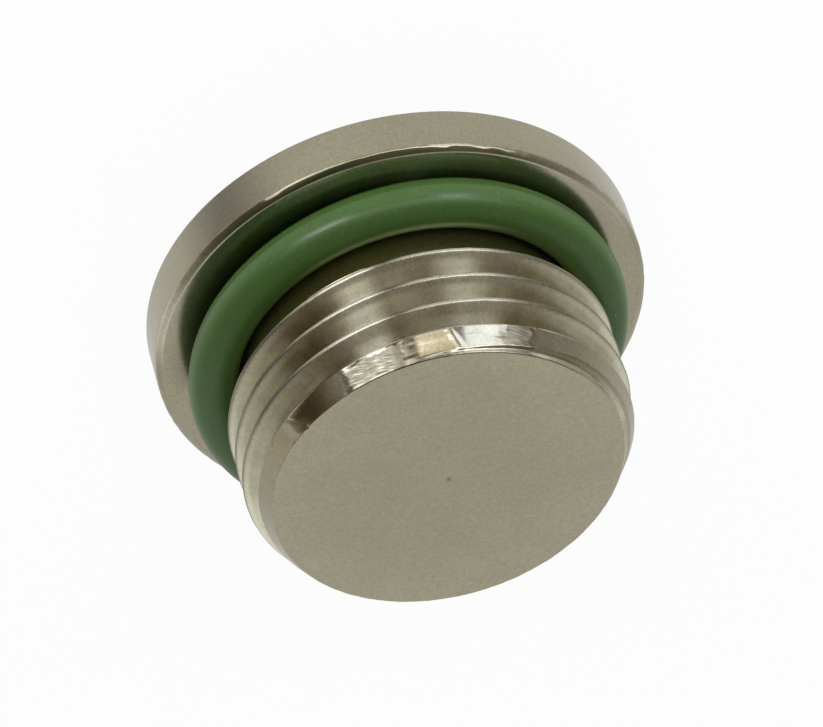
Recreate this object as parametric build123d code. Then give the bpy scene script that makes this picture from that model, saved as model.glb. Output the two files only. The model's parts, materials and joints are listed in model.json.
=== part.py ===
from build123d import *
import math
import os

# Pipe plug: one turned body with a collar, a parallel pipe thread and a hexagon socket in its head,
# and a rubber sealing ring on the neck under the collar.
# It stands on its head: the origin is the middle of the head face, +Z runs up the axis to the thread's end.
# All lengths are in millimetres and all angles in degrees.

# collar
collar_diameter = 26.5
collar_thickness = 3.0
collar_edge_chamfer = 0.3

# shank, from the collar's sealing face to the end face
shank_length = 11.0
neck_diameter = 18.4
neck_length = 3.45
neck_shoulder = 0.55

# right-hand parallel pipe thread, 14 threads to the inch, 55 degrees between the flanks
inch = 25.4
threads_per_inch = 14
thread_diameter = 20.955
thread_pitch = inch / threads_per_inch
thread_angle = 55.0
thread_depth_per_pitch = 0.640327
thread_depth = thread_depth_per_pitch * thread_pitch
thread_flat = thread_pitch / 6
first_crest_height = 4.70

# the groove is cut in lengths that follow one another along the helix, the first starting down in the neck
groove_lengths = 3
groove_turns = 2
groove_overrun = 0.15

# chamfer that leads the thread in, its angle measured from the axis
end_face_diameter = 18.74
lead_chamfer_angle = 30.0

# turning mark in the middle of the end face
centre_mark_diameter = 0.5
centre_mark_depth = 0.12

# hexagon socket for the key, opening in the head face
socket_sides = 6
socket_across_flats = 10.0
socket_depth = 6.5
socket_point_angle = 118.0
socket_mouth_diameter = 12.2
socket_mouth_angle = 120.0

# sealing ring, resting on the sealing face on one side and riding a little high on the other
ring_inner_diameter = 18.6
ring_section = 2.6
ring_tilt = 2.0
ring_high_side = 35.0
ring_clearance = 0.005

# heights along the axis
sealing_face = collar_thickness
end_face = collar_thickness + shank_length
neck_end = sealing_face + neck_length


def turned_blank():
    """The body as it leaves the lathe, before its thread and socket are cut."""
    collar_radius = collar_diameter / 2
    collar_edge = collar_radius - collar_edge_chamfer
    neck_radius = neck_diameter / 2
    thread_radius = thread_diameter / 2
    shoulder_radius = neck_radius + neck_shoulder
    shoulder_top = neck_end + neck_shoulder
    end_radius = end_face_diameter / 2
    lead_length = (thread_radius - end_radius) / math.tan(math.radians(lead_chamfer_angle))
    outline = Polyline(
        (0, 0),
        (collar_edge, 0),
        (collar_radius, collar_edge_chamfer),
        (collar_radius, sealing_face - collar_edge_chamfer),
        (collar_edge, sealing_face),
        (neck_radius, sealing_face),
        (neck_radius, neck_end),
        (shoulder_radius, shoulder_top),
        (thread_radius, shoulder_top),
        (thread_radius, end_face - lead_length),
        (end_radius, end_face),
        (0, end_face),
        close=True,
    )
    return revolve(Plane.XZ * make_face(outline), Axis.Z)


def thread_groove(order):
    """One length of the helical groove between the thread's ridges, open past the crests."""
    flank_slope = math.tan(math.radians(thread_angle / 2))
    root_radius = thread_diameter / 2 - thread_depth
    outer_radius = thread_diameter / 2 + groove_overrun
    root_half = thread_flat / 2
    outer_half = root_half + (thread_depth + groove_overrun) * flank_slope
    length_height = groove_turns * thread_pitch
    # the first crest is placed on the -Y side, a quarter turn before +X, where every length starts
    first_root = sealing_face + first_crest_height + thread_pitch / 2 + thread_pitch / 4
    start = first_root + (order - 1) * length_height
    section = Polyline(
        (root_radius, start - root_half),
        (outer_radius, start - outer_half),
        (outer_radius, start + outer_half),
        (root_radius, start + root_half),
        close=True,
    )
    path = Helix(thread_pitch, length_height, root_radius, center=(0, 0, start))
    return sweep(Plane.XZ * make_face(section), path=path, is_frenet=True)


def hexagon_socket():
    """The broached socket: a countersunk mouth, a hexagonal shaft and a drilled point."""
    half_flats = socket_across_flats / 2
    mouth_radius = socket_mouth_diameter / 2
    mouth_depth = mouth_radius / math.tan(math.radians(socket_mouth_angle / 2))
    point_depth = half_flats / math.tan(math.radians(socket_point_angle / 2))
    shaft = extrude(RegularPolygon(half_flats, socket_sides, major_radius=False), socket_depth)
    mouth_outline = Polyline(
        (0, 0),
        (mouth_radius, 0),
        (0, mouth_depth),
        close=True,
    )
    mouth = revolve(Plane.XZ * make_face(mouth_outline), Axis.Z)
    point_outline = Polyline(
        (0, socket_depth),
        (half_flats, socket_depth),
        (0, socket_depth + point_depth),
        close=True,
    )
    point = revolve(Plane.XZ * make_face(point_outline), Axis.Z)
    return shaft + mouth + point


def centre_mark():
    """The small conical mark that turning leaves in the middle of the end face."""
    mark_outline = Polyline(
        (0, end_face),
        (centre_mark_diameter / 2, end_face),
        (0, end_face - centre_mark_depth),
        close=True,
    )
    return revolve(Plane.XZ * make_face(mark_outline), Axis.Z)


def plug_body():
    """The whole turned plug: blank, thread, socket and centre mark in one piece."""
    body = turned_blank()
    for order in range(groove_lengths):
        body = body - thread_groove(order)
    return body - hexagon_socket() - centre_mark()


def o_ring():
    """The sealing ring, tilted so that its low side rests on the sealing face."""
    section_radius = ring_section / 2
    ring_radius = ring_inner_diameter / 2 + section_radius
    lift = ring_radius * math.sin(math.radians(ring_tilt))
    height = sealing_face + section_radius + lift + ring_clearance
    tilt_axis_turn = Rot(Z=ring_high_side)
    place = Pos(0, 0, height) * tilt_axis_turn * Rot(Y=-ring_tilt)
    return place * Torus(ring_radius, section_radius)


os.makedirs("parts", exist_ok=True)
export_step(plug_body(), "parts/plug_body.step")
export_step(o_ring(), "parts/o_ring.step")
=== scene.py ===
import json
import math

import bmesh
import bpy
import numpy as np
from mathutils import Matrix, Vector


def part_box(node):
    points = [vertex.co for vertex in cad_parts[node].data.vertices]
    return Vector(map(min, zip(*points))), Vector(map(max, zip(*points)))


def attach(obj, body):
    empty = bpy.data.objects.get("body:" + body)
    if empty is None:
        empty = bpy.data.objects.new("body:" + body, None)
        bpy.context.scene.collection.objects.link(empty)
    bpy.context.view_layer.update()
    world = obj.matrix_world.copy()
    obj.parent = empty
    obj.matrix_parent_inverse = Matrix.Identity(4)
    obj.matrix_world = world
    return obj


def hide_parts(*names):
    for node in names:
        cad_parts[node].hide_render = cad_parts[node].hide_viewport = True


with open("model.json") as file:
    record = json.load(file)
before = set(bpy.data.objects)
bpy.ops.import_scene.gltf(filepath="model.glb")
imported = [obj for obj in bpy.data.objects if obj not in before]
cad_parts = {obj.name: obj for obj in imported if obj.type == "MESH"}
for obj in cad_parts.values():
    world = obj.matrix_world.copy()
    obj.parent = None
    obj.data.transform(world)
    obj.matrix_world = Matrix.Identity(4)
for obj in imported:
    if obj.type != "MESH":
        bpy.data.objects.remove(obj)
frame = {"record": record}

bl_info = {
    "name": "Pipe plug",
    "version": (1, 0, 0),
    "blender": (4, 5, 0),
    "location": "3D View > Sidebar > Pipe plug",
    "description": "Builds a nickel-plated pipe plug with its sealing ring, and a small studio round it",
    "category": "Add Mesh",
}

MM = 0.001
FULL_TURN = 2 * math.pi

# what the frame says: the whole box, and the sizes that the mounts state
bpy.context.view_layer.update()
BODY_LOW, BODY_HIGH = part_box("plug_body")
MOUNTS = {mount["name"]: mount for mount in frame["record"]["mounts"]}
THREAD_RADIUS = MOUNTS["male_thread"]["dims"]["r_mm"] * MM
SEALING_FACE = MOUNTS["sealing_face"]["pos_m"][2]

# grid of the body: columns go round the axis, and a multiple of six puts one on each corner of the socket
BODY_COLUMNS = 540
RING_COLUMNS = 420
RING_ROWS = 120
MERGE_DISTANCE = 1e-7
SHARP_ANGLE = math.radians(34)


def linear(hex_colour):
    """An sRGB hex colour as linear red, green, blue."""
    channels = np.array([int(hex_colour[i:i + 2], 16) for i in (1, 3, 5)]) / 255
    low = channels / 12.92
    high = ((channels + 0.055) / 1.055) ** 2.4
    return tuple(float(c) for c in np.where(channels <= 0.04045, low, high))


def length(name, description, millimetres):
    """A length that the user can change, given in millimetres."""
    return bpy.props.FloatProperty(
        name=name, description=description, default=millimetres * MM, unit="LENGTH", precision=5
    )


def angle(name, description, degrees):
    """An angle that the user can change, given in degrees."""
    return bpy.props.FloatProperty(
        name=name, description=description, default=math.radians(degrees), unit="ROTATION"
    )


def colour(name, description, hex_colour):
    """A colour that the user can change, given as sRGB hex."""
    return bpy.props.FloatVectorProperty(
        name=name, description=description, default=linear(hex_colour), subtype="COLOR", min=0, max=1
    )


class PlugBodySettings(bpy.types.PropertyGroup):
    """Sizes and finish of the turned body."""

    collar_diameter: length("Collar", "Diameter of the round collar", (BODY_HIGH.x - BODY_LOW.x) / MM)
    collar_chamfer: length("Collar chamfer", "Chamfer on both edges of the collar", 0.3)
    height: length("Height", "From the head face to the end face", BODY_HIGH.z / MM)
    neck_diameter: length("Neck", "Diameter of the plain neck that carries the ring", 18.4)
    neck_length: length("Neck length", "From the sealing face to the shoulder", 3.45)
    neck_shoulder: length("Shoulder", "Bevel from the neck out to the thread", 0.55)
    thread_pitch: length("Pitch", "From one crest of the thread to the next", 25.4 / 14)
    thread_depth: length("Thread depth", "From the crest down to the root", 0.640327 * 25.4 / 14)
    first_crest: length("First crest", "From the sealing face up to the first crest on the front side", 4.70)
    thread_angle: angle("Thread angle", "Between the two flanks of the thread", 55)
    end_diameter: length("End face", "Diameter of the flat end face", 18.74)
    lead_angle: angle("Lead chamfer", "Chamfer that leads the thread in, from the axis", 30)
    socket_flats: length("Socket", "Hexagon socket, across its flats", 10)
    socket_depth: length("Socket depth", "From the head face to the end of the flats", 6.5)
    socket_mouth: length("Socket mouth", "Diameter of the countersink", 12.2)
    nickel: colour("Satin nickel", "Plating on the end face, the collar and the crests", "#9a957f")
    # bright is also the light end of the painted reflection streaks and the colour of painted highlights
    bright: colour("Bright nickel", "Plating in the thread, where it is clean", "#d4d1c2")
    # the dull film's scratches carry painted light and dark streaks of reflection
    film: colour("Dull film", "Film on the roughly cut parts of the lead chamfer", "#686457")
    # painted reflection: a dark green that stands for the dark overhead and the ring as reflected in the
    # collar's upper edge
    painted_dark_edge: colour("Oil film", "Dark green film on the edge of the collar beside the ring", "#3f4a30")
    # tarnish is the dark end of the painted reflection streaks in the thread and on the lead chamfer
    tarnish: colour("Tarnish", "Plating in the thread, where it is brown and thin", "#7d7157")


class SealingRingSettings(bpy.types.PropertyGroup):
    """Sizes and finish of the sealing ring."""

    inner_diameter: length("Inner diameter", "Hole of the ring", 18.6)
    section: length("Section", "Diameter of the ring's cord", 2.6)
    tilt: angle("Tilt", "How far the ring has ridden up on one side", 2)
    high_side: angle("High side", "Direction of the side that rides high, from +X", 35)
    clearance: length("Clearance", "Gap at the low side, where the ring rests", 0.005)
    rubber: colour("Rubber", "Moulded rubber", "#3a5925")
    # painted light: a paler green that stands for the light on the ring's outer, lower side
    bloom: colour("Bloom", "Paler film on the rubber", "#476a2f")
    # the dust colour also paints a pale light along the ring's inner side
    dust: colour("Dust", "Specks of dust on the rubber", "#869c78")


class StudioSettings(bpy.types.PropertyGroup):
    """Camera, floor and lamps."""

    distance: length("Distance", "From the camera to the point it looks at", 361.78)
    elevation: angle("Elevation", "Height of the camera above the floor", 41.67)
    roll: angle("Roll", "How far the camera is turned about its own axis", 162.91)
    target: bpy.props.FloatVectorProperty(
        name="Target",
        description="The point that the camera looks at",
        default=(0.0937 * MM, -1.614 * MM, 7.0 * MM),
        subtype="TRANSLATION",
    )
    lens: bpy.props.FloatProperty(
        name="Lens", description="Focal length", default=302.93, unit="CAMERA"
    )
    floor: colour("Floor", "Plain pale floor", "#ffffff")
    room_bright: colour("Bright side", "The side of the room that lies behind the plug", "#ffffff")
    room_dark: colour("Dark side", "The side of the room above and before the plug", "#958f82")


def ease_max(a, b, width):
    """The larger of two values, with the corner between them rounded over width."""
    return np.maximum(a, b) + np.maximum(width - np.abs(a - b), 0) ** 2 / (4 * width)


def ease_min(a, b, width):
    """The smaller of two values, with the corner between them rounded over width."""
    return -ease_max(-a, -b, width)


def ramp(value, start, end):
    """Goes smoothly from 0 at start to 1 at end."""
    t = np.clip((value - start) / (end - start), 0, 1)
    return t * t * (3 - 2 * t)


def bump_at(value, middle, half_width):
    """A smooth hump: 1 at the middle, 0 from half_width on."""
    return 1 - ramp(np.abs(value - middle), 0, half_width)


def lattice_noise(across, up, cells, seed):
    """Smooth noise from -1 to 1: seeded random heights on a lattice of unit cells, eased between them.

    across repeats after the given number of cells, so the noise closes round the axis.
    """
    heights = np.random.default_rng(seed).uniform(-1, 1, (cells, cells))
    column = np.floor(across).astype(int)
    row = np.floor(up).astype(int)
    s = ramp(across - column, 0, 1)
    t = ramp(up - row, 0, 1)
    corner = [
        [heights[(column + i) % cells, (row + j) % cells] for j in (0, 1)]
        for i in (0, 1)
    ]
    low = corner[0][0] * (1 - s) + corner[1][0] * s
    high = corner[0][1] * (1 - s) + corner[1][1] * s
    return low * (1 - t) + high * t


def column_angles(columns):
    """Angles about the axis from +X, once round, with the first and the last at the same place."""
    return np.linspace(-math.pi, math.pi, columns + 1)


def side(angles):
    """Angle from the front (-Y) side towards +X, in degrees, from -180 to 180."""
    return np.degrees((angles + math.pi / 2 + math.pi) % FULL_TURN - math.pi)


def band(radius, height, angles):
    """Rows of points round the axis: radius and height are arrays of rows, or of rows by columns."""
    radius, height, turn = np.broadcast_arrays(radius, height, angles)
    return np.stack([radius * np.cos(turn), radius * np.sin(turn), height], axis=-1)


def rounded_outline(corners, steps=4):
    """A (radius, height) line through corners, each turned by an arc that is tangent to both of its sides.

    A corner is (radius, height, rounding); the arc starts rounding * tan(half the turn) before the corner.
    """
    points = [np.array(corners[0][:2])]
    for before, here, after in zip(corners, corners[1:], corners[2:]):
        corner = np.array(here[:2])
        arrive = corner - np.array(before[:2])
        leave = np.array(after[:2]) - corner
        arrive = arrive / np.linalg.norm(arrive)
        leave = leave / np.linalg.norm(leave)
        turn = math.acos(np.clip(arrive @ leave, -1, 1))
        if here[2] == 0:
            points.append(corner)
            continue
        inward = leave - arrive
        inward = inward / np.linalg.norm(inward)
        centre = corner + inward * here[2] / math.cos(turn / 2)
        middle = -inward
        along = (arrive + leave) / np.linalg.norm(arrive + leave)
        sweep = np.linspace(-turn / 2, turn / 2, steps + 1)[:, None]
        points.extend(centre + here[2] * (middle * np.cos(sweep) + along * np.sin(sweep)))
    points.append(np.array(corners[-1][:2]))
    return np.array(points)


def turned_band(corners, angles):
    """A surface of revolution of a rounded outline."""
    line = rounded_outline(corners)
    return band(line[:, :1], line[:, 1:], angles)


def grid_mesh(name, bands):
    """One closed mesh from bands of rows and columns: neighbours share points, and what meets is merged.

    Rows run down the outside and columns counter-clockwise, so that the faces point outwards.
    """
    points = np.concatenate([rows.reshape(-1, 3) for rows in bands])
    quads = []
    start = 0
    for rows in bands:
        count, columns = rows.shape[:2]
        index = np.arange(count * columns).reshape(count, columns) + start
        corners = (index[:-1, :-1], index[1:, :-1], index[1:, 1:], index[:-1, 1:])
        quads.append(np.stack(corners, axis=-1).reshape(-1, 4))
        start += count * columns
    mesh = bpy.data.meshes.new(name)
    mesh.from_pydata(points.tolist(), [], np.concatenate(quads).tolist())
    shell = bmesh.new()
    shell.from_mesh(mesh)
    bmesh.ops.remove_doubles(shell, verts=shell.verts, dist=MERGE_DISTANCE)
    bmesh.ops.dissolve_degenerate(shell, edges=shell.edges, dist=MERGE_DISTANCE)
    shell.to_mesh(mesh)
    shell.free()
    mesh.shade_smooth()
    mesh.set_sharp_from_angle(angle=SHARP_ANGLE)
    return mesh


def into_scene(name, data):
    """Puts a new object with that data into the scene."""
    holder = bpy.data.objects.new(name, data)
    bpy.context.scene.collection.objects.link(holder)
    return holder


def show_piece(mesh, node, material):
    """Puts the mesh into the scene as the piece that stands for a CAD node."""
    piece = into_scene(mesh.name, mesh)
    mesh.materials.append(material)
    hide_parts(node)
    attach(piece, "root")


# rounding of edges and of the thread's crests and roots, as plated parts have them, and small fixed sizes
EDGE_ROUND = 0.06 * MM
COLLAR_EDGE_ROUND = 0.28 * MM
CREST_FLAT = 1 / 6
CREST_POWER = 2.6
ROOT_ROUND = 0.18 * MM
ENVELOPE_ROUND = 0.05 * MM
SIDE_ROUND = 0.15 * MM
SIDE_ROUND_SIDES = (44.0, 58.0)
SIDE_ROUND_RANGE = (0.9 * MM, 0.4 * MM)
SHOULDER_STEP = 0.05 * MM
CENTRE_MARK_RADIUS = 0.25 * MM
CENTRE_MARK_DEPTH = 0.035 * MM
SOCKET_POINT_ANGLE = math.radians(118)
SOCKET_MOUTH_ANGLE = math.radians(120)

# edge of the end face: its rounding on the front and elsewhere, and the span of degrees that is the front
FACE_EDGE_FRONT = 0.12 * MM
FACE_EDGE_SIDE = 0.03 * MM
FACE_EDGE_SPAN = (-65.0, 48.0)
FACE_EDGE_SOFT = 12.0

# rows of the small bands
FACE_EDGE_ROWS = 6
SHOULDER_ROWS = 7
SOCKET_ROWS = 4
POINT_ROWS = 6

# handling and tool marks: depths, cells of their noise as (along, across), heights below the end face,
# and spans round the axis in degrees from the front with their soft ends
MARK_CELLS = 64
FINE_CELLS = 128
CREST_WAVE = 0.010 * MM
CREST_WAVE_CELLS = 160
CREST_WAVE_HEIGHT = 0.7 * MM
CREST_SHARE = 0.35
NICK_DEPTH = 0.05 * MM
NICK_CELLS = 210
NICK_HEIGHT = 0.9 * MM
NICK_RANGE = (0.72, 0.95)
NICK_REACH = 0.08 * MM
NICK_FREE = (34.0, 110.0)
NICK_SOFT = 8.0
COLLAR_NICK_DEPTH = 0.025 * MM
COLLAR_NICK_CELLS = 190
TAIL_FILL = 0.10 * MM
TAIL_RANGE = (1.0 * MM, 0.5 * MM)
MEETING_HALF = 0.1 * MM
EDGE_WAVE = 0.012 * MM
EDGE_WAVE_CELLS = 220
EDGE_WAVE_RANGE = (0.25 * MM, 0.05 * MM)
CHATTER_DEPTH = 0.0022 * MM
CHATTER_SPAN = (1.0, 21.5)
CHATTER_SOFT = 1.5
CHATTER_CELL = (0.60 * MM, 0.14 * MM)
CHATTER_SLANT = 0.3
BURR_DEPTH = 0.14 * MM
BURR_CELL = 0.36 * MM
BURR_RANGE = (0.95 * MM, 1.3 * MM)
TURNING_DEPTH = 0.0022 * MM
TURNING_FADE = (42.0, 58.0)
TURNING_CELL = (1.8 * MM, 0.14 * MM)
ROLL_START = 1.06 * MM
ROLL_WAVE = 0.17 * MM
ROLL_CELL = 0.42 * MM
ROLL_SLOPE = 0.06
NIBBLE_DEPTH = 0.022 * MM
NIBBLE_SPAN = (-42.0, -23.0)
NIBBLE_SOFT = 4.0
NIBBLE_CELL = (0.36 * MM, 0.18 * MM)
NIBBLE_RANGE = (0.7 * MM, 1.3 * MM)
WAVE_DEPTH = 0.006 * MM
WAVE_CELL = (0.42 * MM, 0.20 * MM)

# a second, quicker noise that is added to the first: its share, and how much closer it is along and across
ROLL_QUICK = (0.6, 2.1)
CHATTER_QUICK = (0.6, 2.7, 1.6)
SMUDGE_QUICK = (0.5, 3, 2.5)

# single marks on the lead chamfer: side in degrees, height below the end face, half width, half height, depth
DENTS = (
    (54.8, 0.83, 0.20, 0.16, 0.018),
    (41.0, 0.06, 0.18, 0.16, 0.050),
    (39.2, 0.05, 0.12, 0.10, -0.020),
    (-23.4, 0.08, 0.10, 0.12, 0.040),
    (-1.0, 0.85, 0.16, 0.16, 0.003),
    (6.5, 1.02, 0.14, 0.10, 0.008),
)
# lines across the chamfer: side at the end face in degrees, slant in degrees a millimetre, half width, depth
LINES = (
    (-16.6, 3.3, 1.9, -0.020),
    (40.4, 4.5, 0.7, 0.014),
)

# a streak or a spot of the finish is (side in degrees, half width in degrees, change);
# a streak is full up to the first of these shares of its half width, and gone at the second
STREAK_SIDES = (0.25, 1.3)
DEGREES = 360

# plating in the thread: from tarnished at 0 to bright at 1, on the front and elsewhere, and what changes it
# on the last turn, on the tops of the flanks, at the sides and in the roots. Its streaks are painted
# reflections, the lower level on the front is painted shade, the last turn's streaks are painted light and
# shade, and the roots are made darker
PLATING_FRONT = 0.46
PLATING_ELSEWHERE = 0.60
PLATING_FRONT_SPAN = 62.0
PAINTED_REFLECTION_STREAKS = (
    (10.2, 7.2, 0.52),
    (-22.0, 8.0, 0.42),
    (31.0, 13.0, -0.46),
    (-4.0, 6.0, 0.10),
    (-42.0, 12.0, -0.24),
    (-66.0, 16.0, -0.24),
    (96.0, 12.0, 0.20),
    (128.0, 15.0, -0.35),
    (168.0, 10.0, 0.22),
    (-98.0, 9.0, -0.25),
    (-126.0, 12.0, 0.20),
    (-154.0, 13.0, -0.38),
)
SMUDGE = 0.12
SMUDGE_CELLS = 60
SMUDGE_HEIGHT = 0.8 * MM
LAST_TURN = 0.06
LAST_TURN_PAINTED_STREAKS = ((34.0, 15.0, 0.45), (1.0, 7.0, -0.12))
LAST_TURN_RANGE = (2.8 * MM, 2.4 * MM)
FLANK_RANGE = (0.03 * MM, 0.10 * MM)
FLANK_SATIN = 0.85
FLANK_TOP = (0.8, 0.45)
FLANK_TOP_SIDES = (25.0, 52.0)
FLANK_TOP_RANGE = (0.22 * MM, 0.42 * MM)
SIDE_TINT = (0.975, 1.0, 0.91)
SIDE_TINT_SPAN = (30.0, 125.0)
SIDE_TINT_SOFT = 25.0
ROOT_DARKENING = 0.65
ROOT_RANGE = (0.90, 0.99)

# crests of the thread: a painted highlight on the front, painted shade beside it that fades on the far sides,
# and satin on the sides; a pair that isn't a range is for the +X side and the -X side
CREST_LEVEL = 0.15
CREST_FRONT_SPAN = 60.0
CREST_PAINTED_HIGHLIGHT = ((11.0, 12.0, 0.60), (-22.0, 14.0, 0.40))
CREST_PAINTED_SHADE = (0.70, 0.55)
CREST_PAINTED_SHADE_SIDES = ((24.0, 38.0), (24.0, 36.0))
CREST_PAINTED_SHADE_FRONT = (0.0, 7.5, 0.6)
CREST_SHADE_FADE = (0.65, 0.7)
CREST_SHADE_FADE_SIDES = (48.0, 62.0)
CREST_SATIN = 1.8
CREST_SATIN_SIDES = (28.0, 46.0)

# lead chamfer: its plating, with streaks that are painted reflections and a dark patch that is a painted dark
# reflection, dull spans with their painted shade, a painted shade along an edge, the film on two spans, and
# where it is rubbed off or gives way to the thread
LEAD_LEVEL = 0.60
LEAD_STREAKS = ((35.0, 9.0, -0.60), (-48.0, 10.0, -0.05))
LEAD_PAINTED_DARK = (36.5, 7.0, 0.45)
LEAD_PAINTED_SHADE = (((-3.3, 2.6), 0.60), ((0.9, 7.0), 0.80))
LEAD_PAINTED_SHADE_SOFT = 1.4
LEAD_PAINTED_SHADE_SHIFT = 0.5
LEAD_PAINTED_SHADE_TINT = (0.0, 0.0875, 0.25)
LEAD_EDGE = (-13.5, 2.5)
LEAD_EDGE_SOFT = 2.0
LEAD_EDGE_SHADE = 0.65
LEAD_EDGE_RANGE = (0.20 * MM, 0.34 * MM)
LEAD_SMUDGE_CELL = (0.9 * MM, 0.35 * MM)
LEAD_SMUDGE_SHIFT = 2.5
LEAD_SATIN_SIDES = (43.0, 50.0)
LEAD_SATIN_SHADE = 0.92
LEAD_START_SOFT = 0.1 * MM
LEAD_GAP_RANGE = (0.06 * MM, 0.14 * MM)
FILM_FIRST = (3.6, 23.2)
FILM_FIRST_SOFT = 2.0
FILM_SECOND = (-42.0, -25.0)
FILM_SECOND_SOFT = 6.0
FILM_THIN = 0.35
FILM_GROWS = (30.0, 38.0)
WORN_EDGE = (0.06, 0.13)
WORN_EDGE_WAVE = 0.05
WORN_EDGE_SHARE = 0.5
ROLLED_HALF = 0.04 * MM

# neck, sealing face, collar's rim and upper edge, and end face; on the sealing face the shade, the dark spots
# and the wedge are painted shade beside the ring, on the rim a dark patch is a painted dark reflection, and
# on the upper edge a dark green is a painted reflection, with painted light in streaks and a line left clear
NECK_RUBBED = 0.9
NECK_SATIN = 0.5
NECK_RANGE = (0.2 * MM, 0.6 * MM)
NECK_TINT = (1.0, 0.82, 0.48)
NECK_GRIME = 0.045
SEAL_HALF = 0.1 * MM
SEAL_RUBBED = (0.0, 75.0, 0.60)
SEAL_STAIN = 0.12
SEAL_SHADE = (0.50, 0.66, 0.42)
SEAL_SHADE_SPAN = 110.0
SEAL_SHADE_RANGE = (11.3 * MM, 12.5 * MM)
SEAL_DARK = ((9.0, 20.0, 1.0), (-30.0, 16.0, 0.8))
SEAL_DARK_SHADE = (0.55, 0.82, 0.35)
SEAL_DARK_RANGE = (11.8 * MM, 12.5 * MM)
SEAL_WEDGE = (80.0, 13.0, 0.9)
SEAL_WEDGE_RANGE = (11.8 * MM, 12.2 * MM)
SEAL_GRIME = (-15.0, 6.0, 0.04)
RIM_PAINTED_DARK = (32.0, 20.0, 0.52)
EDGE_PAINTED_DARK = ((22.0, 24.0, 0.8), (-8.0, 20.0, 0.6), (-41.0, 14.0, 0.5))
EDGE_LINE = 0.25
EDGE_LINE_STREAKS = ((15.0, 7.0, 0.45), (-21.0, 10.0, 0.75))
EDGE_CLEAR = (0.16 * MM, 0.09 * MM)
EDGE_PAINTED_LIGHT = ((64.0, 14.0, 0.9), (-70.0, 12.0, 0.4))
EDGE_SATIN = 1.6
EDGE_SATIN_SIDES = (33.0, 46.0)
SEAL_SATIN = 0.35
SEAL_SATIN_SIDES = (25.0, 50.0)
COLLAR_MIDDLE_SOFT = 0.1 * MM
END_WEAR = 0.09


def climb_at(settings, angles):
    """How far the thread has climbed at an angle, counted from the front side."""
    return settings.thread_pitch * (angles + math.pi / 2) / FULL_TURN


def thread_depth_at(settings, angles, heights):
    """How deep the thread is cut, from crest to root, at an angle and a height.

    The crest climbs one pitch a turn. With x the distance from it, s the slope of a flank and c the height
    that the flat crest cuts off, the depth is (c^n + (x/s)^n)^(1/n) - c: a rounded crest that runs out into
    straight flanks, down to a flat root.
    """
    pitch = settings.thread_pitch
    offset = (heights - SEALING_FACE - settings.first_crest - climb_at(settings, angles)) / pitch
    from_crest = np.abs(offset - np.round(offset)) * pitch
    slope = math.tan(settings.thread_angle / 2)
    cut_off = CREST_FLAT * pitch / (2 * slope)
    flank = (cut_off ** CREST_POWER + (from_crest / slope) ** CREST_POWER) ** (1 / CREST_POWER) - cut_off
    return ease_min(flank, settings.thread_depth, ROOT_ROUND)


def envelope_radius(settings, heights):
    """Radius of the blank under the thread: a bevelled shoulder, the full diameter, then the lead chamfer."""
    shoulder_end = SEALING_FACE + settings.neck_length + settings.neck_shoulder
    shoulder = settings.neck_diameter / 2 + settings.neck_shoulder
    bevel = shoulder + heights - shoulder_end
    step = shoulder + (THREAD_RADIUS - shoulder) * (heights - shoulder_end) / SHOULDER_STEP
    lead = settings.end_diameter / 2 + (settings.height - heights) * math.tan(settings.lead_angle)
    start = np.where(heights < shoulder_end, bevel, step)
    return ease_min(np.minimum(start, THREAD_RADIUS), lead, ENVELOPE_ROUND)


def lead_start(settings):
    """Height at which the lead chamfer starts on the full diameter."""
    return settings.height - (THREAD_RADIUS - settings.end_diameter / 2) / math.tan(settings.lead_angle)


def within(a, span, soft):
    """1 inside a span of degrees and 0 outside it, with soft ends."""
    return ramp(a, span[0], span[0] + soft) * (1 - ramp(a, span[1] - soft, span[1]))


def roll_start(along):
    """Depth below the end face from which the thread's edge of the chamfer is rolled over; it wanders."""
    slow = lattice_noise(along / ROLL_CELL, 0 * along, MARK_CELLS, seed=15)
    quick = lattice_noise(ROLL_QUICK[1] * along / ROLL_CELL, 0 * along, MARK_CELLS, seed=16)
    return ROLL_START + ROLL_WAVE * (slow + ROLL_QUICK[0] * quick)


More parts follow.
